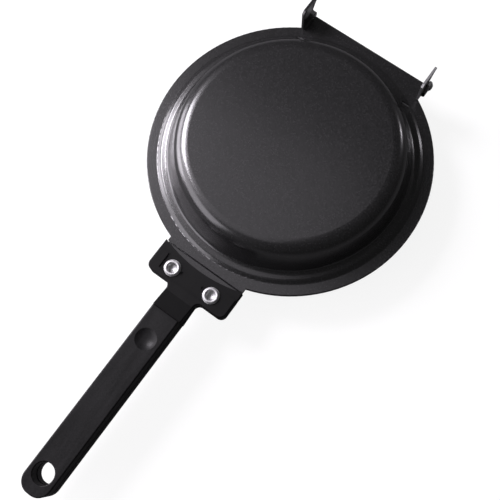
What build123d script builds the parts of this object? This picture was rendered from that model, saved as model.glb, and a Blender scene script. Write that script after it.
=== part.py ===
from build123d import *
import math
import os

# A double sided flip pan: two pressed pans, face to face, hinged at the back, each with half a handle.
# All sizes are in millimetres. +Z is up, the handle points to -Y and the hinge runs along X at the back.
# The origin is the centre of the lower pan's flat base, on which the shut pan stands.

# ---- pressed sheets ----
sheet = 1.5                      # thickness of the sheet
rim_gap = 0.3                    # daylight between the two rims when the pan is shut
rim_radius = 97.5
rim_width = 7.3                  # flat rim around the dish
rim_edge = 0.5                   # rounding of the rim's edge, on the outside of the pan
bead_height = 1.6                # small step around the mouth of the dish
bead_run = 2.6
bead_ledge = 5.2
ledge_rise = 0.6                 # the ledge inside the step slopes up a little to the wall
dish_depth = 26.0                # rim face to base face
wall_run = 8.2                   # from the ledge to where wall and base would meet in a sharp corner
inside_bend = 1.5                # inner radius of the bends of the bead
foot_bend = 4.0                  # radius at the foot of the wall, on its outer side
shoulder_bend = 11.0             # radius between wall and base, on its outer side

# ---- hinge, with its places along the pan measured from the straight back edge, + is backwards ----
hinge_inset = 0.2                # the straight back edge lies this far inside the rim's circle
hinge_setback = 0.6              # from that edge to the hinge axis
ear_outer = 48.8                 # outer face of the upper pan's ears
ear_gap = 0.3                    # between the upper pan's ears and the lower pan's lugs outside them
ear_bend = 0.8                   # inner radius of the bends from pan to ear and lug
ear_length = 14.1                # from the front edge of the upper pan's ears to the back edge of the pan
ear_height = 22.4                # above the parting plane
ear_chamfer = 2.0                # front top corner
ear_neck = 2.4                   # the back edge of the ear under the horn lies this far in front
horn_reach = 4.0                 # tip of the horn
horn_tip = 1.4                   # corner of the blunt tip
horn_under = 17.6                # underside of the horn, above the parting plane
horn_root = 12.0                 # where the horn's underside reaches the back edge of the ear
eye_radius = 2.9                 # round ends of ears and lugs about the hinge pins
lug_length = 7.8                 # from the front edge of the lower pan's lugs to the back edge of the pan
lug_top_front = 4.7              # their top edge, which slopes up to the back, starts and ends here
lug_top_back = 1.9
lug_front_height = 11.0
lug_height = 12.4                # no more, because the upper rim swings past above
relief_clearance = 0.4           # round the eyes, where the pans are notched
relief_slot = 1.1                # width of the notch beside each upper ear
crease_angle = 30.2              # from the back, to the small dent across the bead in front of each ear
crease_radius = 1.2
crease_depth = 1.1
crease_length = 6.4

# ---- hinge pins ----
pin_radius = 1.5
pin_running_clearance = 0.05     # in the upper pan's ears, which turn on the pins
pin_seat_clearance = 0.02        # in the lower pan's ears, which hold the pins
pin_head_radius = 2.2
pin_head_thickness = 1.0
pin_button_radius = 2.1
pin_button_thickness = 0.5
pin_end_play = 0.1

# ---- handle tab of each pan ----
tab_half_width = 29.1
tab_wing_half_width = 30.6       # the tab is this wide where it leaves the rim
tab_wing_gap = 0.5               # from that wide part to the front corners of the head
tab_bend_inset = 1.7             # the bend across the tab lies this far inside the rim's circle
tab_root = 6.4                   # the tab leaves the flat rim this far inside the rim's circle
tab_ramp = 1.2                   # length of the sharp step up behind the bend
tab_rise = 1.2                   # leaves room for the rivet heads between the two tabs
tab_shoulder_depth = 2.3         # from the front of the head to where the tab narrows to its tongue
tongue_half_width = 22.0
tongue_depth = 14.5              # from the front of the head to the end of the tongue
tongue_corner = 3.0

# ---- handles ----
head_gap = 3.5                   # from the rim's circle to the concave front of the head
head_half_width = 31.0
head_length = 17.4               # from that front to the straight back of the head
head_corner = 4.5
head_thickness = 5.5             # of each half, around the rivets
head_edge = 0.8                  # rounding of the outer edges of head and neck
neck_half_width = 11.0
neck_fillet = 4.0
neck_flat = 4.5                  # from the back of the head to where the neck slopes up
neck_rise = 2.7                  # height of that slope
neck_length = 16.9               # from the back of the head to the step up to the grip
grip_half_width = 10.3
grip_thickness = 10.2            # of each half
grip_length = 136.5
grip_corner = 9.0
grip_edge = 1.0                  # rounding of the grip's outer edges
parting_edge = 0.8               # rounding of the edges where the two halves meet
tab_clearance = 0.4              # around the tab, in the handle
hole_from_end = 14.7
hole_radius = 7.0
hole_edge = 0.7
hole_chamfer = 0.9               # where the two halves of the hole meet
dimple_from_step = 21.1
dimple_radius = 7.2
dimple_depth = 1.9

# ---- sunk panel on the head ----
panel_depth = 1.1
panel_brim = 1.9                 # so far behind the front of the head, the panel is as wide as the head
panel_half_width = 23.6
panel_side_inset = 4.6           # from the back of the head to the end of the panel's straight sides
panel_back_inset = 1.9           # from the back of the head to the back of the panel
panel_back_half_width = 12.6
pit_x = 8.3                      # two small moulding pits beside the rivets
pit_forward = 0.9                # in front of the rivets' row
pit_radius = 1.1
pit_depth = 0.8

# ---- rivets and washers ----
rivet_x = 15.7
rivet_inset = 8.8                # from the back of the head
rivet_radius = 3.8
rivet_bore_radius = 3.1
rivet_head_radius = 5.4
rivet_head_thickness = 0.8
rivet_bore_depth = 1.5           # at the wall, below the washer's top
rivet_cone_depth = 1.0           # of the cone in the bottom of the bore
roll_radius = 5.2                # outer radius of the rolled end
roll_height = 1.1
rivet_clearance = 0.1
washer_radius = 5.7
washer_thickness = 0.7
washer_edge = 0.25

# ---- magnets ----
magnet_from_end = 43.8
magnet_radius = 4.0
magnet_thickness = 3.0
magnet_clearance = 0.1

# ---- places, levels and planes worked out from the sizes above ----
foot_radius = rim_radius - rim_width         # where the dish leaves the flat rim
base_corner_radius = foot_radius - bead_run - bead_ledge - wall_run
hinge_edge = rim_radius - hinge_inset
ear_front = hinge_edge - ear_length
lug_front = hinge_edge - lug_length
tab_bend_line = rim_radius - tab_bend_inset
head_front_radius = rim_radius + head_gap
head_back = head_front_radius + head_length
slope_at = head_back + neck_flat
step_at = head_back + neck_length
grip_end = step_at + grip_length
hole_at = grip_end - hole_from_end
dimple_at = step_at + dimple_from_step
magnet_at = grip_end - magnet_from_end
rivet_y = head_back - rivet_inset
pit_y = rivet_y - pit_forward
tab_shoulder = head_front_radius + tab_shoulder_depth
panel_shoulder = head_front_radius + panel_brim
panel_side_end = head_back - panel_side_inset
panel_back = head_back - panel_back_inset
tongue_end = head_front_radius + tongue_depth
tab_wing_end = math.sqrt(head_front_radius**2 - head_half_width**2) - tab_wing_gap
parting_z = dish_depth + sheet + rim_gap / 2
rim_in = parting_z + rim_gap / 2             # face of the upper rim that meets the lower one
rim_out = rim_in + sheet
base_z = rim_out + dish_depth
tab_in = rim_in + tab_rise
tab_out = rim_out + tab_rise
grip_in = rim_in
grip_out = grip_in + grip_thickness
head_out = grip_in + head_thickness
panel_z = head_out - panel_depth
washer_out = panel_z + washer_thickness
hinge_y = hinge_edge + hinge_setback
ear_inner = ear_outer - sheet
lug_inner = ear_outer + ear_gap
lug_outer = lug_inner + sheet
relief_front = hinge_y - eye_radius - relief_clearance
relief_inner = ear_inner - relief_slot
rim_below = parting_z - rim_gap / 2          # face of the lower rim that meets the upper one
neck_top = head_out + neck_rise
neck_base = grip_in + head_thickness / 2
parting_plane = Plane.XY.offset(parting_z)


def offset_path(points, distance):
    """The same open path, moved sideways by distance, to the left of its direction."""
    moved = []
    for i, (x, y) in enumerate(points):
        before = points[max(i - 1, 0)]
        here = points[min(i + 1, len(points) - 1)]
        a = math.atan2(y - before[1], x - before[0]) if i > 0 else None
        b = math.atan2(here[1] - y, here[0] - x) if i < len(points) - 1 else None
        a = b if a is None else a
        b = a if b is None else b
        middle = (a + b) / 2
        stretch = distance / math.cos((b - a) / 2)
        moved.append((x - stretch * math.sin(middle), y + stretch * math.cos(middle)))
    return moved


# ---- the pressing that both pans share, in the upper pan's place ----

outer_path = [
    (rim_radius, rim_out),
    (foot_radius, rim_out),
    (foot_radius - bead_run, rim_out + bead_height),
    (foot_radius - bead_run - bead_ledge, rim_out + bead_height + ledge_rise),
    (base_corner_radius, base_z),
    (0, base_z),
]
inner_path = offset_path(outer_path, sheet)
outer_bends = [inside_bend, inside_bend + sheet, foot_bend, shoulder_bend]
inner_bends = [inside_bend + sheet, inside_bend, foot_bend + sheet, shoulder_bend - sheet]


def dent_place(side):
    """Middle of the dent across the bead, lying along a radius of the pan."""
    crease_middle = foot_radius - bead_run
    turn = math.radians(crease_angle)
    crease_level = rim_out + bead_height + crease_radius - crease_depth
    place = (side * crease_middle * math.sin(turn), crease_middle * math.cos(turn), crease_level)
    return Location(place, (0, 90, 90 - side * crease_angle))


def dent(side, radius):
    """A bar under the bead's outer face, which is the metal that the dent pushes in."""
    with BuildPart() as bar:
        with BuildSketch(Plane.XZ):
            with BuildLine():
                FilletPolyline(*outer_path, radius=outer_bends)
                Polyline(outer_path[-1], (0, rim_in), (rim_radius, rim_in), outer_path[0])
            make_face()
        revolve(axis=Axis.Z)
        with Locations(dent_place(side)):
            Cylinder(radius, crease_length, mode=Mode.INTERSECT)
    return bar.part


with BuildPart() as handle_tab:
    # The side view of the tab, drawn with the handle to the left, is drawn across the full width.
    with BuildSketch(Plane.YZ):
        with BuildLine():
            Polyline(
                (tab_root - rim_radius, rim_in),
                (-tab_bend_line, rim_in),
                (-tab_bend_line - tab_ramp, tab_in),
                (-tongue_end, tab_in),
                (-tongue_end, tab_out),
                (-tab_bend_line - tab_ramp, tab_out),
                (-tab_bend_line, rim_out),
                (tab_root - rim_radius, rim_out),
                close=True,
            )
        make_face()
    extrude(amount=tab_wing_half_width, both=True)
    # The plan view narrows it to a tongue behind its shoulders.
    with BuildSketch(Plane.XY.offset(rim_in)):
        with Locations((0, -tab_wing_end)):
            Rectangle(2 * tab_wing_half_width, tab_wing_end, align=(Align.CENTER, Align.MIN))
        with Locations((0, -tab_shoulder)):
            Rectangle(2 * tab_half_width, tab_shoulder, align=(Align.CENTER, Align.MIN))
        with Locations((0, -tongue_end)):
            Rectangle(2 * tongue_half_width, tongue_end, align=(Align.CENTER, Align.MIN))
    extrude(amount=tab_out - rim_in, mode=Mode.INTERSECT)
    back_corners = handle_tab.edges().filter_by(Axis.Z).group_by(Axis.Y)[0]
    fillet(back_corners, tongue_corner)

with BuildPart() as pressing:
    with BuildSketch(Plane.XZ):
        with BuildLine():
            FilletPolyline(*outer_path, radius=outer_bends)
            FilletPolyline(*inner_path, radius=inner_bends)
            Line(outer_path[0], inner_path[0])
            Line(outer_path[-1], inner_path[-1])
        make_face()
        fillet(vertices().group_by(Axis.X)[-1].sort_by(Axis.Y)[-1], rim_edge)
    revolve(axis=Axis.Z)
    # The rim runs on to a straight back edge between the ears.
    with BuildSketch(Plane.XY.offset(rim_in)):
        Rectangle(2 * relief_inner, hinge_edge, align=(Align.CENTER, Align.MIN))
        Circle((foot_radius + rim_radius) / 2, mode=Mode.SUBTRACT)
    extrude(amount=sheet)
    with BuildSketch(Plane.XY.offset(rim_in)):
        with Locations((0, hinge_edge)):
            Rectangle(2 * rim_radius, rim_radius, align=(Align.CENTER, Align.MIN))
    extrude(amount=sheet, mode=Mode.SUBTRACT)
    # A short dent crosses the bead in front of each ear.
    for side in (-1, 1):
        add(dent(side, crease_radius + sheet))
    for side in (-1, 1):
        with Locations(dent_place(side)):
            Cylinder(crease_radius, crease_length, mode=Mode.SUBTRACT)
    add(handle_tab.part)
    with Locations((-rivet_x, -rivet_y, tab_in), (rivet_x, -rivet_y, tab_in)):
        Cylinder(
            rivet_radius + rivet_clearance,
            sheet,
            align=(Align.CENTER, Align.CENTER, Align.MIN),
            mode=Mode.SUBTRACT,
        )


def bend_strip(inner_face, side, rim_face, front, back):
    """Sheet from the flat of the pan, round a bend and up to an ear whose inner face is at inner_face."""
    centre_x = inner_face - ear_bend
    centre_z = rim_face + ear_bend
    far_x = inner_face + sheet
    near_x = relief_inner - sheet
    inner_turn = ear_bend * math.sqrt(0.5)
    outer_turn = (ear_bend + sheet) * math.sqrt(0.5)
    with BuildPart() as strip:
        with BuildSketch(Plane.XZ.offset(-front)):
            with BuildLine():
                Line((side * near_x, rim_face), (side * centre_x, rim_face))
                ThreePointArc(
                    (side * centre_x, rim_face),
                    (side * (centre_x + inner_turn), centre_z - inner_turn),
                    (side * inner_face, centre_z),
                )
                Line((side * inner_face, centre_z), (side * far_x, centre_z))
                ThreePointArc(
                    (side * far_x, centre_z),
                    (side * (centre_x + outer_turn), centre_z - outer_turn),
                    (side * centre_x, rim_face - sheet),
                )
                Line((side * centre_x, rim_face - sheet), (side * near_x, rim_face - sheet))
                Line((side * near_x, rim_face - sheet), (side * near_x, rim_face))
            make_face()
        extrude(amount=-(back - front))
    return strip.part


# ---- upper pan ----

with BuildPart() as upper_pan:
    add(pressing.part)
    for side in (-1, 1):
        # The sheet bends up on its outer side, so the bend's inner face is the rim's outer face.
        add(bend_strip(ear_inner, side, rim_out, ear_front, relief_front))
        ear_foot = rim_out + ear_bend
        ear_top = parting_z + ear_height
        with BuildSketch(Plane.YZ.offset(side * ear_outer)):
            with BuildLine():
                Polyline(
                    (ear_front, ear_foot),
                    (ear_front, ear_top - ear_chamfer),
                    (ear_front + ear_chamfer, ear_top),
                    (hinge_edge + horn_reach - horn_tip, ear_top),
                    (hinge_edge + horn_reach, ear_top - horn_tip),
                    (hinge_y, parting_z + horn_under),
                    (hinge_edge - ear_neck, parting_z + horn_root),
                    (hinge_y + eye_radius, parting_z),
                    (hinge_y - eye_radius, parting_z),
                    (relief_front, ear_foot),
                    close=True,
                )
            make_face()
            with Locations((hinge_y, parting_z)):
                Circle(eye_radius)
                Circle(pin_radius + pin_running_clearance, mode=Mode.SUBTRACT)
        extrude(amount=-side * sheet)

# ---- lower pan ----

with BuildPart() as lower_pan:
    mirror(pressing.part, about=parting_plane)
    with BuildSketch(Plane.XY.offset(rim_below)):
        with Locations((0, ear_front)):
            Rectangle(2 * relief_inner, lug_front - ear_front, align=(Align.CENTER, Align.MIN))
    extrude(amount=-sheet)
    for side in (-1, 1):
        # These lugs bend up past the rim's meeting face, outside the upper pan's ears.
        add(bend_strip(lug_inner, side, rim_below, lug_front, relief_front))
        lug_foot = rim_below + ear_bend
        with BuildSketch(Plane.YZ.offset(side * lug_outer)):
            with BuildLine():
                Polyline(
                    (lug_front, lug_foot),
                    (hinge_edge - lug_top_front, parting_z + lug_front_height),
                    (hinge_edge - lug_top_back, parting_z + lug_height),
                    (hinge_y + eye_radius, parting_z),
                    (hinge_y - eye_radius, parting_z),
                    (relief_front, lug_foot),
                    close=True,
                )
            make_face()
            with Locations((hinge_y, parting_z)):
                Circle(eye_radius)
                Circle(pin_radius + pin_seat_clearance, mode=Mode.SUBTRACT)
        extrude(amount=-side * sheet)

# ---- hinge pins ----


def hinge_pin(side):
    """A short pin with a round head outside the lug and a flat button inside the ear."""
    button_x = ear_inner - pin_end_play
    pin_plane = Plane.YZ.offset(side * (button_x - pin_button_thickness))
    with BuildPart() as pin:
        with BuildSketch(pin_plane):
            with Locations((hinge_y, parting_z)):
                Circle(pin_button_radius)
        extrude(amount=side * pin_button_thickness)
        with BuildSketch(pin_plane):
            with Locations((hinge_y, parting_z)):
                Circle(pin_radius)
        extrude(amount=side * (lug_outer - button_x + pin_button_thickness))
        with BuildSketch(Plane.YZ.offset(side * lug_outer)):
            with Locations((hinge_y, parting_z)):
                Circle(pin_head_radius)
        extrude(amount=side * pin_head_thickness)
        outer_rim = pin.edges().sort_by(Axis.X)[-1 if side > 0 else 0]
        fillet(outer_rim, pin_head_thickness / 2)
    return pin.part


with BuildPart() as left_hinge_pin:
    add(hinge_pin(-1))

with BuildPart() as right_hinge_pin:
    add(hinge_pin(1))

# ---- handle halves ----

with BuildPart() as neck_slope:
    # The neck slopes up from the low head to the step in front of the grip.
    for section_at, section_top in ((slope_at, head_out), (step_at, neck_top)):
        with BuildSketch(Plane.XZ.offset(section_at)):
            with Locations((0, neck_base)):
                Rectangle(
                    2 * neck_half_width, section_top - neck_base, align=(Align.CENTER, Align.MIN)
                )
            fillet(vertices().group_by(Axis.Y)[-1], head_edge)
    loft(ruled=True)

with BuildPart() as upper_handle:
    # The T-shaped head, with the start of the neck.
    with BuildSketch(Plane.XY.offset(grip_in)):
        with Locations((0, -head_back)):
            Rectangle(2 * head_half_width, head_back, align=(Align.CENTER, Align.MIN))
        with Locations((0, -slope_at)):
            Rectangle(2 * neck_half_width, slope_at, align=(Align.CENTER, Align.MIN))
        Circle(head_front_radius, mode=Mode.SUBTRACT)
    extrude(amount=head_thickness)
    upright = upper_handle.edges().filter_by(Axis.Z)
    head_corners = upright.filter_by(lambda e: abs(e.center().X) > head_half_width - 1)
    fillet(head_corners.group_by(Axis.Y)[0], head_corner)
    upright = upper_handle.edges().filter_by(Axis.Z)
    inner_corners = upright.filter_by(lambda e: abs(e.center().Y + head_back) < 0.1)
    fillet(inner_corners.filter_by(lambda e: abs(e.center().X) < neck_half_width + 1), neck_fillet)
    head_top_edges = upper_handle.faces().sort_by(Axis.Z)[-1].edges()
    fillet(head_top_edges.filter_by(lambda e: e.center().Y > -slope_at + 0.1), head_edge)
    with BuildSketch(Plane.XY.offset(grip_in)):
        with Locations((0, -step_at)):
            Rectangle(2 * neck_half_width, step_at - slope_at, align=(Align.CENTER, Align.MIN))
    extrude(amount=neck_base - grip_in)
    add(neck_slope.part)
    # The grip, with rounded edges.
    with BuildSketch(Plane.XY.offset(grip_in)):
        with Locations((0, -grip_end)):
            Rectangle(2 * grip_half_width, grip_end - step_at, align=(Align.CENTER, Align.MIN))
    extrude(amount=grip_thickness)
    end_corners = upper_handle.edges().filter_by(Axis.Z).group_by(Axis.Y)[0]
    fillet(end_corners, grip_corner)
    grip_top_edges = upper_handle.faces().sort_by(Axis.Z)[-1].edges()
    fillet(grip_top_edges, grip_edge)
    fillet(upper_handle.faces().sort_by(Axis.Z)[0].edges(), parting_edge)
    # The hanging hole, and a thumb dimple cut by a large ball.
    with Locations((0, -hole_at, grip_in)):
        Cylinder(
            hole_radius, grip_thickness, align=(Align.CENTER, Align.CENTER, Align.MIN), mode=Mode.SUBTRACT
        )
    hole_foot = upper_handle.faces().sort_by(Axis.Z)[0].edges().filter_by(GeomType.CIRCLE)
    chamfer(hole_foot.filter_by(lambda e: abs(e.radius - hole_radius) < 0.1), hole_chamfer)
    hole_mouth = upper_handle.faces().sort_by(Axis.Z)[-1].edges().filter_by(GeomType.CIRCLE)
    fillet(hole_mouth.filter_by(lambda e: abs(e.radius - hole_radius) < 0.1), hole_edge)
    ball_radius = (dimple_radius**2 + dimple_depth**2) / (2 * dimple_depth)
    with Locations((0, -dimple_at, grip_out - dimple_depth + ball_radius)):
        Sphere(ball_radius, mode=Mode.SUBTRACT)
    # The sunk panel around the rivets, open towards the pan.
    with BuildSketch(Plane.XY.offset(head_out)):
        with Locations((0, -panel_shoulder)):
            Rectangle(2 * head_half_width + sheet, panel_shoulder, align=(Align.CENTER, Align.MIN))
        with BuildLine():
            Polyline(
                (-panel_half_width, -panel_shoulder),
                (-panel_half_width, -panel_side_end),
                (-panel_back_half_width, -panel_back),
                (panel_back_half_width, -panel_back),
                (panel_half_width, -panel_side_end),
                (panel_half_width, -panel_shoulder),
                close=True,
            )
        make_face()
    extrude(amount=-panel_depth, mode=Mode.SUBTRACT)
    # Two small pits beside the rivets.
    with Locations((-pit_x, -pit_y, panel_z), (pit_x, -pit_y, panel_z)):
        Cylinder(pit_radius, 2 * pit_depth, mode=Mode.SUBTRACT)
    # Room below for the tab and for the heads of the rivets.
    with BuildSketch(Plane.XY.offset(grip_in)):
        with Locations((0, -tab_shoulder - tab_clearance)):
            Rectangle(2 * (tab_half_width + tab_clearance), tab_shoulder, align=(Align.CENTER, Align.MIN))
        with Locations((0, -tongue_end - tab_clearance)):
            Rectangle(2 * (tongue_half_width + tab_clearance), tongue_end, align=(Align.CENTER, Align.MIN))
    extrude(amount=tab_out - grip_in, mode=Mode.SUBTRACT)
    # Holes for the rivets, and the seat of the magnet.
    with Locations((-rivet_x, -rivet_y, tab_out), (rivet_x, -rivet_y, tab_out)):
        Cylinder(
            rivet_radius + rivet_clearance,
            head_out - tab_out,
            align=(Align.CENTER, Align.CENTER, Align.MIN),
            mode=Mode.SUBTRACT,
        )
    with Locations((0, -magnet_at, grip_in)):
        Cylinder(
            magnet_radius + magnet_clearance,
            magnet_thickness + magnet_clearance,
            align=(Align.CENTER, Align.CENTER, Align.MIN),
            mode=Mode.SUBTRACT,
        )

with BuildPart() as lower_handle:
    mirror(upper_handle.part, about=parting_plane)

# ---- rivets and their washers ----

with BuildPart() as upper_rivets:
    with BuildSketch(Plane.XZ.offset(rivet_y)):
        with BuildLine():
            bore_wall = rivet_x + rivet_bore_radius
            roll_wall = rivet_x + roll_radius - roll_height / 2
            Polyline(
                (bore_wall, washer_out),
                (bore_wall, washer_out - rivet_bore_depth),
                (rivet_x, washer_out - rivet_bore_depth - rivet_cone_depth),
                (rivet_x, tab_in - rivet_head_thickness),
                (rivet_x + rivet_head_radius, tab_in - rivet_head_thickness),
                (rivet_x + rivet_head_radius, tab_in),
                (rivet_x + rivet_radius, tab_in),
                (rivet_x + rivet_radius, washer_out),
                (roll_wall, washer_out),
            )
            ThreePointArc(
                (roll_wall, washer_out),
                (roll_wall + roll_height / 2, washer_out + roll_height / 2),
                (roll_wall, washer_out + roll_height),
            )
            ThreePointArc(
                (roll_wall, washer_out + roll_height),
                ((roll_wall + bore_wall) / 2, washer_out + 0.8 * roll_height),
                (bore_wall, washer_out),
            )
        make_face()
    revolve(axis=Axis((rivet_x, -rivet_y, 0), (0, 0, 1)))
    mirror(about=Plane.YZ)

with BuildPart() as upper_rivet_washers:
    with BuildSketch(Plane.XY.offset(panel_z)):
        with Locations((-rivet_x, -rivet_y), (rivet_x, -rivet_y)):
            Circle(washer_radius)
            Circle(rivet_radius + rivet_clearance, mode=Mode.SUBTRACT)
    extrude(amount=washer_thickness)
    top_rims = upper_rivet_washers.edges().filter_by(GeomType.CIRCLE).group_by(Axis.Z)[-1]
    fillet(top_rims.filter_by(lambda e: e.radius > washer_radius - washer_edge), washer_edge)

with BuildPart() as lower_rivets:
    mirror(upper_rivets.part, about=parting_plane)

with BuildPart() as lower_rivet_washers:
    mirror(upper_rivet_washers.part, about=parting_plane)

# ---- magnets in the meeting faces of the handles ----

with BuildPart() as upper_magnet:
    with Locations((0, -magnet_at, grip_in)):
        Cylinder(magnet_radius, magnet_thickness, align=(Align.CENTER, Align.CENTER, Align.MIN))

with BuildPart() as lower_magnet:
    mirror(upper_magnet.part, about=parting_plane)

# ---- one file for each piece ----

pieces = {
    "upper_pan": upper_pan,
    "lower_pan": lower_pan,
    "upper_handle": upper_handle,
    "lower_handle": lower_handle,
    "upper_rivets": upper_rivets,
    "lower_rivets": lower_rivets,
    "upper_rivet_washers": upper_rivet_washers,
    "lower_rivet_washers": lower_rivet_washers,
    "left_hinge_pin": left_hinge_pin,
    "right_hinge_pin": right_hinge_pin,
    "upper_magnet": upper_magnet,
    "lower_magnet": lower_magnet,
}
os.makedirs("parts", exist_ok=True)
for piece_name, piece in pieces.items():
    piece.part.label = piece_name
    export_step(piece.part, f"parts/{piece_name}.step")
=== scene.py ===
import math

import bpy
from mathutils import Matrix, Vector


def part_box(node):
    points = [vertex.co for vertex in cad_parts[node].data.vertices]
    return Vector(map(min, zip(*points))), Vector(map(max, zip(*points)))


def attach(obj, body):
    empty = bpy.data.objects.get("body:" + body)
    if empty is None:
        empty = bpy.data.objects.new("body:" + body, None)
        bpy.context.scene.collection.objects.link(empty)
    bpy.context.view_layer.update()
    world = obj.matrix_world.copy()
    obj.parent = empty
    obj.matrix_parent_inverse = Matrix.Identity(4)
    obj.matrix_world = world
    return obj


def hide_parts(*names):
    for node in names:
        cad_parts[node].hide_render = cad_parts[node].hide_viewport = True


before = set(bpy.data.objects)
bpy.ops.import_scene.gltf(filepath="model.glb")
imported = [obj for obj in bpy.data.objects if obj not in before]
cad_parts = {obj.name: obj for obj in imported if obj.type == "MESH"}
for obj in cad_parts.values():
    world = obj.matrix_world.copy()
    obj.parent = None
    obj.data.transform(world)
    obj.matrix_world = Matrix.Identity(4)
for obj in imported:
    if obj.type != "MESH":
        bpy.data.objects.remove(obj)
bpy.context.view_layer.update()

# A double sided flip pan: two pressed pans face to face, hinged at the back, with a riveted half handle each.
# Lengths are in metres. The handle points to -Y and the hinge runs along X at the back.

MM = 0.001
PARTING = 27.65 * MM          # level of the plane where the two halves meet
HINGE_BACK = 97.9 * MM
PIN_SIDE = 50.6 * MM          # from the middle to the base of each pin's head
RIVET_SIDE = 15.7 * MM
RIVET_BACK = -109.6 * MM
# centre of the painted highlight spot inside the left ear
PAINTED_GLINT_CENTRE = (-47.3 * MM, 89.0 * MM, 44.0 * MM)

NEUTRAL = (1.0, 1.0, 1.0)
COOL = (1.0, 1.0, 1.01)
WARM = (1.02, 1.0, 0.97)
BLACK_CAST = (1.0, 0.975, 1.02)
LAMP_CAST = (1.0, 0.955, 1.03)


# ---- building nodes ----


def feed(tree, socket, value):
    """Sets a socket to a plain value, or links it to another node's socket."""
    if isinstance(value, bpy.types.NodeSocket):
        tree.links.new(value, socket)
    else:
        socket.default_value = value


def add_node(tree, kind, inputs=None, **settings):
    """One node, with its settings and its inputs, which are values or other nodes' sockets."""
    made = tree.nodes.new(kind)
    for name, value in settings.items():
        setattr(made, name, value)
    for name, value in (inputs or {}).items():
        feed(tree, made.inputs[name], value)
    return made


def maths(tree, operation, first, second=0.0, third=0.0, clamp=False):
    inputs = {0: first, 1: second, 2: third}
    return add_node(tree, "ShaderNodeMath", inputs, operation=operation, use_clamp=clamp).outputs[0]


def product(tree, *factors, clamp=False):
    total = factors[0]
    for factor in factors[1:-1]:
        total = maths(tree, "MULTIPLY", total, factor)
    return maths(tree, "MULTIPLY", total, factors[-1], clamp=clamp)


def blend(tree, share, first, second):
    """A share of the first, and the rest of the second."""
    return maths(tree, "MULTIPLY_ADD", first, share, maths(tree, "MULTIPLY", second, 1.0 - share))


def rescale(tree, value, from_low, from_high, to_low=0.0, to_high=1.0):
    inputs = {
        "Value": value, "From Min": from_low, "From Max": from_high, "To Min": to_low, "To Max": to_high
    }
    return add_node(tree, "ShaderNodeMapRange", inputs).outputs["Result"]


def mix_colours(tree, factor, low, high):
    """The Mix node has a set of sockets for each kind of data, so those for colours go by number."""
    return add_node(tree, "ShaderNodeMix", {0: factor, 6: low, 7: high}, data_type="RGBA").outputs[2]


def noise(tree, place, scale, detail=2.0, roughness=0.5):
    inputs = {"Vector": place, "Scale": scale, "Detail": detail, "Roughness": roughness}
    return add_node(tree, "ShaderNodeTexNoise", inputs).outputs["Fac"]


def bump(tree, strength, depth, height):
    inputs = {"Strength": strength, "Distance": depth, "Height": height}
    return add_node(tree, "ShaderNodeBump", inputs).outputs[0]


def grey(level, cast=BLACK_CAST):
    return tuple(level * part for part in cast) + (1.0,)


def new_material(name):
    made = bpy.data.materials.new(name)
    made.use_nodes = True
    made.node_tree.nodes.clear()
    return made, made.node_tree


def principled(tree, inputs):
    shader = add_node(tree, "ShaderNodeBsdfPrincipled", inputs)
    add_node(tree, "ShaderNodeOutputMaterial", {"Surface": shader.outputs[0]})


# ---- finishes ----


def bare_edges_and_painted_shine(tree, place, facing):
    """Where the ears are painted bright steel: on the cut edges of the right ear and lug, partly bare steel and partly
    a painted highlight on the bends, and a painted highlight spot on the inside of the left ear.
    """
    spot = add_node(tree, "ShaderNodeSeparateXYZ", {"Vector": place}).outputs
    sideways = add_node(tree, "ShaderNodeSeparateXYZ", {"Vector": facing}).outputs["X"]
    from_parting = maths(tree, "ABSOLUTE", maths(tree, "SUBTRACT", spot["Z"], PARTING))
    at_side = maths(tree, "GREATER_THAN", spot["X"], 46.9 * MM)
    at_back = maths(tree, "GREATER_THAN", spot["Y"], 82.9 * MM)
    upright = maths(tree, "GREATER_THAN", from_parting, 2.9 * MM)
    edge_on = rescale(tree, maths(tree, "ABSOLUTE", sideways), 0.75, 0.45)
    breakup = rescale(tree, noise(tree, place, 700.0, 4.0, 0.7), 0.30, 0.44)
    # Painted highlight: the bright steel on the right ear's cut edges and bends is partly bare steel and partly colour
    # standing in for the lamps' reflection.
    cut_edges_and_shine = product(tree, at_side, at_back, upright, edge_on, breakup, clamp=True)
    # Painted highlight: a bright steel spot inside the left ear, standing in for a reflection.
    away = add_node(tree, "ShaderNodeVectorMath", {0: place, 1: PAINTED_GLINT_CENTRE}, operation="DISTANCE").outputs["Value"]
    inside = rescale(tree, sideways, 0.2, 0.6)
    painted_glint = product(tree, rescale(tree, away, 6.0 * MM, 3.0 * MM), breakup, inside, 0.7)
    return maths(tree, "MAXIMUM", cut_edges_and_shine, painted_glint, clamp=True)


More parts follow.
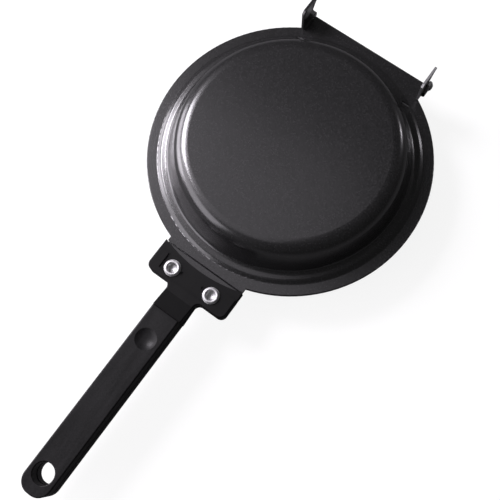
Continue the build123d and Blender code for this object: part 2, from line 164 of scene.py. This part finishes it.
def coated_steel():
    """Black non-stick coating, sprayed and baked, with bare steel on the ear edges mixed with painted highlights there,
    and a painted highlight spot inside the left ear.
    """
    made, tree = new_material("coated_steel")
    coords = add_node(tree, "ShaderNodeTexCoord").outputs
    place = coords["Object"]
    grain = noise(tree, place, 2600.0, 3.0, 0.65)
    speckle = noise(tree, place, 1150.0, 1.0)
    clouds = noise(tree, place, 22.0, 3.0)
    peel = noise(tree, place, 420.0)
    tone = blend(tree, 0.35, grain, speckle)

    # Small bright flecks, in about a quarter of the cells of a fine pattern.
    cells = add_node(tree, "ShaderNodeTexVoronoi", {"Vector": place, "Scale": 1500.0, "Randomness": 1.0}).outputs
    chance = add_node(tree, "ShaderNodeSeparateColor", {"Color": cells["Color"]}).outputs[0]
    chosen = maths(tree, "GREATER_THAN", chance, 0.72)
    fleck = product(tree, rescale(tree, cells["Distance"], 0.10, 0.02), chosen, clamp=True)

    coat = mix_colours(tree, rescale(tree, tone, 0.38, 0.64), grey(0.004), grey(0.022))
    coat = mix_colours(tree, rescale(tree, clouds, 0.3, 0.75, 0.0, 0.25), coat, grey(0.016))
    coat = mix_colours(tree, fleck, coat, grey(0.09))
    bare_and_shine = bare_edges_and_painted_shine(tree, place, coords["Normal"])
    height = maths(tree, "MULTIPLY_ADD", peel, 0.6, maths(tree, "MULTIPLY", tone, 0.55))
    principled(tree, {
        # On the ears the colour turns to bright steel: bare cut edges mixed with painted highlights.
        "Base Color": mix_colours(tree, bare_and_shine, coat, grey(0.8, COOL)),
        "Roughness": maths(tree, "MULTIPLY_ADD", fleck, -0.12, rescale(tree, tone, 0.3, 0.7, 0.40, 0.50)),
        "Metallic": bare_and_shine, "Specular IOR Level": 0.12, "Normal": bump(tree, 0.34, 0.05 * MM, height),
        "Coat Weight": 1.0, "Coat Roughness": 0.22, "Coat IOR": 1.8, "Coat Normal": bump(tree, 0.16, 0.05 * MM, tone),
    })
    return made


def handle_resin():
    """Black phenolic resin, satin, with the faint flow marks of the moulding."""
    made, tree = new_material("handle_resin")
    place = add_node(tree, "ShaderNodeTexCoord").outputs["Object"]
    grain = noise(tree, place, 1150.0, 3.0, 0.6)
    drawn_out = add_node(tree, "ShaderNodeMapping", {"Vector": place, "Scale": (220.0, 34.0, 220.0)}).outputs[0]
    flow = noise(tree, drawn_out, 1.0, 3.0)
    clouds = noise(tree, place, 45.0, 3.0)
    tone = blend(tree, 0.5, grain, flow)
    colour = mix_colours(tree, rescale(tree, tone, 0.38, 0.62), grey(0.002), grey(0.014))
    colour = mix_colours(tree, rescale(tree, clouds, 0.35, 0.75, 0.0, 0.3), colour, grey(0.012))
    # The head and the neck are painted darker than the grip, as painted shade, and the grip is a little glossier.
    along = add_node(tree, "ShaderNodeSeparateXYZ", {"Vector": place}).outputs["Y"]
    grip_share = rescale(tree, along, -134.0 * MM, -139.0 * MM)
    relief = bump(tree, 0.5, 0.07 * MM, tone)
    # Painted shade: a flat dark grey on the head and the neck, from the step back to the pan.
    principled(tree, {
        "Base Color": mix_colours(tree, grip_share, grey(0.0035), colour),
        "Roughness": maths(tree, "MULTIPLY_ADD", grip_share, -0.10, rescale(tree, tone, 0.3, 0.7, 0.66, 0.78)),
        "Specular IOR Level": 0.14, "Normal": relief,
        "Coat Weight": 0.22, "Coat Roughness": 0.3, "Coat Normal": relief,
    })
    return made


def turned_metal(name, level, low_rough, high_rough, ring_scale, tarnish):
    """Bright metal with fine rings around its own axis, from the ring attribute of the turned pieces."""
    made, tree = new_material(name)
    place = add_node(tree, "ShaderNodeTexCoord").outputs["Object"]
    ring = add_node(tree, "ShaderNodeAttribute", attribute_name="ring").outputs["Fac"]
    rings = noise(tree, add_node(tree, "ShaderNodeCombineXYZ", {"X": ring}).outputs[0], ring_scale, 4.0, 0.7)
    stain = noise(tree, place, 800.0, 4.0, 0.65)
    colour = mix_colours(tree, rescale(tree, rings, 0.3, 0.7), grey(level * 0.86, COOL), grey(level, NEUTRAL))
    principled(tree, {
        "Base Color": mix_colours(
            tree, rescale(tree, stain, 0.52, 0.74, 0.0, tarnish), colour, grey(level * 0.45, WARM)
        ),
        "Metallic": 1.0, "Normal": bump(tree, 0.3, 0.03 * MM, rings),
        "Roughness": rescale(tree, blend(tree, 0.6, rings, stain), 0.3, 0.7, low_rough, high_rough),
    })
    return made


finishes = {
    "coated_steel": coated_steel(),
    "handle_resin": handle_resin(),
    "rivet_metal": turned_metal("rivet_metal", 0.60, 0.44, 0.56, 9000.0, 0.30),
    "washer_metal": turned_metal("washer_metal", 0.52, 0.46, 0.58, 7000.0, 0.35),
    "pin_metal": turned_metal("pin_metal", 0.60, 0.28, 0.44, 8000.0, 0.45),
    "magnet_metal": turned_metal("magnet_metal", 0.74, 0.10, 0.22, 4000.0, 0.15),
}


# ---- turned pieces, by geometry nodes ----
# An outline is a list of corners. Each is two sums, its radius and its height, of named sizes times plain numbers.


def weighed(tree, sockets, terms):
    """A sum of named sizes times plain numbers, as a socket, or zero for an empty one."""
    total = 0.0
    for name, weight in terms.items():
        total = maths(tree, "MULTIPLY_ADD", sockets[name], weight, total)
    return total


def tree_inputs(tree, sizes):
    """The tree's own inputs: its named sizes, its number of segments, its turn and its finish."""
    face = tree.interface
    face.new_socket("Geometry", in_out="OUTPUT", socket_type="NodeSocketGeometry")
    for label, value in sizes.items():
        face.new_socket(label, in_out="INPUT", socket_type="NodeSocketFloat").default_value = value
    face.new_socket("Segments", in_out="INPUT", socket_type="NodeSocketInt").default_value = 72
    face.new_socket("Turn", in_out="INPUT", socket_type="NodeSocketVector").default_value = (0.0, 0.0, 0.0)
    face.new_socket("Finish", in_out="INPUT", socket_type="NodeSocketMaterial")
    return add_node(tree, "NodeGroupInput").outputs


def picked(tree, given, row, sums):
    """The sum that belongs to a row of the outline."""
    pick = add_node(tree, "GeometryNodeIndexSwitch", data_type="FLOAT")
    while len(pick.index_switch_items) < len(sums):
        pick.index_switch_items.new()
    feed(tree, pick.inputs["Index"], row)
    for number, terms in enumerate(sums):
        feed(tree, pick.inputs[number + 1], weighed(tree, given, terms))
    return pick.outputs[0]


def turned_tree(name, sizes, outline, places):
    """A tree that turns an outline about an axis, and sets the result at each of the places."""
    tree = bpy.data.node_groups.new(name, "GeometryNodeTree")
    given = tree_inputs(tree, sizes)
    count = len(outline)
    columns = maths(tree, "ADD", given["Segments"], 1.0)
    grid = add_node(tree, "GeometryNodeMeshGrid", {"Vertices X": columns, "Vertices Y": count})
    index = add_node(tree, "GeometryNodeInputIndex").outputs[0]
    row = maths(tree, "MODULO", index, count)
    column = maths(tree, "FLOOR", maths(tree, "DIVIDE", maths(tree, "ADD", index, 0.5), count))
    radius, height = (picked(tree, given, row, [corner[part] for corner in outline]) for part in (0, 1))
    angle = maths(tree, "DIVIDE", maths(tree, "MULTIPLY", column, 2 * math.pi), given["Segments"])
    spot = add_node(tree, "ShaderNodeCombineXYZ", {
        "X": maths(tree, "MULTIPLY", radius, maths(tree, "COSINE", angle)),
        "Y": maths(tree, "MULTIPLY", radius, maths(tree, "SINE", angle)),
        "Z": height,
    }).outputs[0]
    ringed = add_node(tree, "GeometryNodeStoreNamedAttribute", {
        "Geometry": grid.outputs["Mesh"], "Name": "ring", "Value": radius,
    }, data_type="FLOAT", domain="POINT")
    turned = add_node(tree, "GeometryNodeSetPosition", {"Geometry": ringed.outputs[0], "Position": spot})
    closed = add_node(tree, "GeometryNodeMergeByDistance", {
        "Geometry": turned.outputs[0], "Distance": 0.002 * MM,
    })

    joined = add_node(tree, "GeometryNodeJoinGeometry")
    for place in places:
        middle = {axis: weighed(tree, given, terms) for axis, terms in zip("XYZ", place)}
        at = add_node(tree, "ShaderNodeCombineXYZ", middle)
        point = add_node(tree, "GeometryNodePoints", {"Count": 1, "Position": at.outputs[0]})
        tree.links.new(point.outputs[0], joined.inputs[0])
    turning = add_node(tree, "FunctionNodeEulerToRotation", {"Euler": given["Turn"]})
    set_out = add_node(tree, "GeometryNodeInstanceOnPoints", {
        "Points": joined.outputs[0], "Instance": closed.outputs[0], "Rotation": turning.outputs[0],
    })
    real = add_node(tree, "GeometryNodeRealizeInstances", {"Geometry": set_out.outputs[0]})
    smooth = add_node(tree, "GeometryNodeSetShadeSmooth", {"Geometry": real.outputs[0]})
    finished = add_node(tree, "GeometryNodeSetMaterial", {
        "Geometry": smooth.outputs[0], "Material": given["Finish"],
    })
    add_node(tree, "NodeGroupOutput", {0: finished.outputs[0]})
    return tree


def plain_mesh(name, tree, values):
    """The tree's result as a plain mesh piece at the origin."""
    carrier = bpy.data.objects.new(name + "_maker", bpy.data.meshes.new(name + "_maker"))
    bpy.context.collection.objects.link(carrier)
    modifier = carrier.modifiers.new("made", "NODES")
    modifier.node_group = tree
    for socket in tree.interface.items_tree:
        if socket.in_out == "INPUT" and socket.name in values:
            modifier[socket.identifier] = values[socket.name]
    view = bpy.context.evaluated_depsgraph_get()
    made = bpy.data.meshes.new_from_object(carrier.evaluated_get(view), depsgraph=view)
    carrier.modifiers.remove(modifier)
    bpy.data.objects.remove(carrier)
    made.name = name
    made.set_sharp_from_angle(angle=math.radians(32))
    piece = bpy.data.objects.new(name, made)
    bpy.context.collection.objects.link(piece)
    return piece


def outward(mesh):
    """Whether the closed mesh's faces point outwards, by its signed volume."""
    total = 0.0
    for face in mesh.polygons:
        corners = [mesh.vertices[i].co for i in face.vertices]
        for a, b in zip(corners[1:], corners[2:]):
            total += corners[0].dot(a.cross(b))
    return total > 0


def turned_piece(name, tree, node, body, finish, values):
    """A turned piece, which takes the node's place on the body."""
    piece = plain_mesh(name, tree, dict(values, Finish=finishes[finish]))
    if not outward(piece.data):
        piece.data.flip_normals()
    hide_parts(node)
    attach(piece, body)


def arc(steps, start, end, middle, reach):
    """Outline corners on an arc, whose middle and reach are sums of sizes, in radius and in height."""
    corners = []
    for step in range(steps + 1):
        turn = math.radians(start + (end - start) * step / steps)
        corner = []
        for part, share in ((0, math.cos(turn)), (1, math.sin(turn))):
            terms = dict(middle[part])
            for label, weight in reach[part].items():
                terms[label] = terms.get(label, 0.0) + weight * share
            corner.append(terms)
        corners.append(tuple(corner))
    return corners


rivets_low, rivets_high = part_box("upper_rivets")
roll_rise = 1.1 * MM
head_height = 0.8 * MM
rivet_level = rivets_high.z - roll_rise          # the top of the washers, where the rolled end starts
rivet_sizes = {
    "Bore": 3.1 * MM, "Roll": 5.2 * MM, "Rise": roll_rise, "Depth": 1.5 * MM, "Cone": 1.0 * MM,
    "Shank": 3.8 * MM, "Head": 5.4 * MM, "Head height": head_height,
    "Length": rivet_level - head_height - rivets_low.z,
    "Side": RIVET_SIDE, "Back": RIVET_BACK, "Level": rivet_level,
}
rivet_outline = [
    # the coned bottom and the wall of the bore
    ({}, {"Depth": -1.0, "Cone": -1.0}),
    ({"Bore": 0.25}, {"Depth": -1.0, "Cone": -0.93}),
    ({"Bore": 0.62}, {"Depth": -1.0, "Cone": -0.55}),
    ({"Bore": 0.9}, {"Depth": -1.0, "Cone": -0.2}),
    ({"Bore": 1.0}, {"Depth": -0.9}),
    # the rolled end
    *arc(12, 180, -20, ({"Bore": 0.5, "Roll": 0.5}, {"Rise": 0.42}), ({"Bore": -0.5, "Roll": 0.5}, {"Rise": 0.58})),
    ({"Shank": 0.6, "Roll": 0.4}, {}),
    # the shank and the head
    ({"Shank": 1.0}, {}),
    ({"Shank": 1.0}, {"Length": -1.0}),
    ({"Head": 0.97}, {"Length": -1.0}),
    ({"Head": 1.0}, {"Length": -1.0, "Head height": -0.25}),
    ({"Head": 1.0}, {"Length": -1.0, "Head height": -0.75}),
    ({"Head": 0.96}, {"Length": -1.0, "Head height": -1.0}),
    ({}, {"Length": -1.0, "Head height": -1.0}),
]
both_sides = [({"Side": side}, {"Back": 1.0}, {"Level": 1.0}) for side in (-1.0, 1.0)]
rivet_tree = turned_tree("tubular_rivets", rivet_sizes, rivet_outline, both_sides)

washer_sizes = {
    "Hole": 3.9 * MM, "Edge": 5.7 * MM, "Thickness": 0.7 * MM, "Round": 0.25 * MM,
    "Side": RIVET_SIDE, "Back": RIVET_BACK, "Level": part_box("upper_rivet_washers")[0].z,
}
washer_outline = [
    ({"Hole": 1.0}, {}),
    ({"Edge": 1.0, "Round": -0.4}, {}),
    ({"Edge": 1.0}, {"Round": 0.4}),
    *arc(6, 0, 90, ({"Edge": 1.0, "Round": -1.0}, {"Thickness": 1.0, "Round": -1.0}), ({"Round": 1.0}, {"Round": 1.0})),
    ({"Hole": 1.0, "Round": 0.5}, {"Thickness": 1.0}),
    ({"Hole": 1.0}, {"Thickness": 1.0, "Round": -0.5}),
    ({"Hole": 1.0}, {}),
]
washer_tree = turned_tree("rivet_washers", washer_sizes, washer_outline, both_sides)

for tree, sizes, node_end, name_end, finish in (
    (rivet_tree, rivet_sizes, "rivets", "rolled_rivets", "rivet_metal"),
    (washer_tree, washer_sizes, "rivet_washers", "plated_washers", "washer_metal"),
):
    mirrored = {"Turn": (math.pi, 0.0, 0.0), "Level": 2 * PARTING - sizes["Level"]}
    turned_piece("upper_" + name_end, tree, "upper_" + node_end, "upper_half", finish, {})
    turned_piece("lower_" + name_end, tree, "lower_" + node_end, "lower_half", finish, mirrored)

pin_sizes = {
    "Shank": 1.5 * MM, "Button": 2.1 * MM, "Button height": 0.5 * MM, "Head": 2.2 * MM, "Dome": 1.0 * MM,
    "Grip": 3.4 * MM, "Side": PIN_SIDE, "Back": HINGE_BACK, "Level": PARTING,
}
pin_outline = [
    # the domed head and the shank
    *arc(10, 90, 0, ({}, {"Dome": 0.3}), ({"Head": 1.0}, {"Dome": 0.7})),
    ({"Head": 0.985}, {}),
    ({"Shank": 1.0}, {}),
    ({"Shank": 1.0}, {"Grip": -1.0}),
    # the flat button inside the ear
    ({"Button": 0.96}, {"Grip": -1.0}),
    ({"Button": 1.0}, {"Grip": -1.0, "Button height": -0.3}),
    ({"Button": 0.97}, {"Grip": -1.0, "Button height": -0.8}),
    ({"Button": 0.8}, {"Grip": -1.0, "Button height": -1.0}),
    ({}, {"Grip": -1.0, "Button height": -1.0}),
]
pin_tree = turned_tree("peened_pins", pin_sizes, pin_outline, both_sides[1:])
for hand, side in (("right", 1.0), ("left", -1.0)):
    turned_piece(hand + "_peened_pin", pin_tree, hand + "_hinge_pin", "lower_half", "pin_metal",
                 {"Turn": (0.0, side * math.pi / 2, 0.0), "Side": side * PIN_SIDE})

# ---- finishes of the pressed and moulded pieces ----

for node, finish in (
    ("upper_pan", "coated_steel"), ("lower_pan", "coated_steel"),
    ("upper_handle", "handle_resin"), ("lower_handle", "handle_resin"),
    ("upper_magnet", "magnet_metal"), ("lower_magnet", "magnet_metal"),
):
    for held in bpy.data.objects[node].material_slots:
        held.material = finishes[finish]

# ---- floor, lamps and camera ----


def studio_floor():
    """A pale floor that shows white to the camera and keeps a soft shadow. Reflections see only its dim cloth."""
    made, tree = new_material("studio_floor")
    path = add_node(tree, "ShaderNodeLightPath").outputs
    mirrored = maths(tree, "MAXIMUM", path["Is Glossy Ray"], path["Is Transmission Ray"])
    seen = maths(tree, "MULTIPLY_ADD", mirrored, 0.02, maths(tree, "MULTIPLY", path["Is Camera Ray"], 0.88))
    tone = mix_colours(tree, path["Is Glossy Ray"], grey(0.22, NEUTRAL), grey(0.12, NEUTRAL))
    cloth = add_node(tree, "ShaderNodeBsdfDiffuse", {"Color": tone})
    glow = add_node(tree, "ShaderNodeEmission", {"Strength": seen})
    both = add_node(tree, "ShaderNodeAddShader", {0: cloth.outputs[0], 1: glow.outputs[0]})
    add_node(tree, "ShaderNodeOutputMaterial", {"Surface": both.outputs[0]})
    return made


def floor_piece(reach, level):
    mesh = bpy.data.meshes.new("floor")
    corners = [(x * reach, y * reach, level) for x, y in ((-1, -1), (1, -1), (1, 1), (-1, 1))]
    mesh.from_pydata(corners, [], [(0, 1, 2, 3)])
    mesh.materials.append(studio_floor())
    made = bpy.data.objects.new("floor", mesh)
    bpy.context.collection.objects.link(made)


def studio_world():
    """White to the camera, and a dim light from all round."""
    world = bpy.data.worlds.new("studio")
    world.use_nodes = True
    tree = world.node_tree
    tree.nodes.clear()
    seen = add_node(tree, "ShaderNodeLightPath").outputs["Is Camera Ray"]
    strength = maths(tree, "MULTIPLY_ADD", seen, 0.95, 0.05)
    sky = add_node(tree, "ShaderNodeBackground", {"Color": grey(1.0, NEUTRAL), "Strength": strength})
    add_node(tree, "ShaderNodeOutputWorld", {"Surface": sky.outputs[0]})
    bpy.context.scene.world = world


def lamp(name, bearing, height, distance, size, power):
    """A soft square lamp, aimed at the pan: bearing is the way to it on plan, height its angle above the floor."""
    around, above = math.radians(bearing), math.radians(height)
    way = Vector((math.cos(above) * math.cos(around), math.cos(above) * math.sin(around), math.sin(above)))
    target = Vector((0.0, -0.02, 0.04))
    data = bpy.data.lights.new(name, "AREA")
    data.shape = "RECTANGLE"
    data.size, data.size_y = size
    data.energy = power
    data.color = LAMP_CAST
    made = bpy.data.objects.new(name, data)
    made.matrix_world = Matrix.Translation(target + way * distance) @ way.to_track_quat("Z", "Y").to_matrix().to_4x4()
    bpy.context.collection.objects.link(made)


def photo_camera(place, yaw, pitch, roll, lens):
    """The camera at the photograph's viewing angle: yaw from +Y on plan, pitch down, and roll about its view."""
    look = Vector((math.sin(yaw) * math.cos(pitch), math.cos(yaw) * math.cos(pitch), -math.sin(pitch)))
    level_right = Vector((math.cos(yaw), -math.sin(yaw), 0.0))
    level_up = level_right.cross(look)
    right = math.cos(roll) * level_right + math.sin(roll) * level_up
    up = -math.sin(roll) * level_right + math.cos(roll) * level_up
    data = bpy.data.cameras.new("camera")
    data.sensor_width = 36.0
    data.lens = lens
    data.clip_start = 0.01
    made = bpy.data.objects.new("camera", data)
    made.matrix_world = Matrix.Translation(place) @ Matrix((right, up, -look)).transposed().to_4x4()
    bpy.context.collection.objects.link(made)
    bpy.context.scene.camera = made


floor_piece(4.0, -0.05 * MM)
studio_world()
lamp("overhead", 196, 69, 1.2, (1.05, 1.05), 1.5)
lamp("key", 180, 45, 1.0, (0.40, 0.36), 9.0)
lamp("low_left", 194, 10, 1.0, (0.7, 0.45), 5.5)
lamp("front_left", 224, 28, 1.0, (1.0, 0.6), 4.4)
lamp("glint", 62, 14, 1.0, (0.07, 0.07), 0.4)
photo_camera((104.68 * MM, -161.53 * MM, 506.45 * MM), yaw=-0.758118, pitch=1.311547, roll=-0.131456, lens=54.0)
bpy.context.scene.view_settings.view_transform = "Standard"
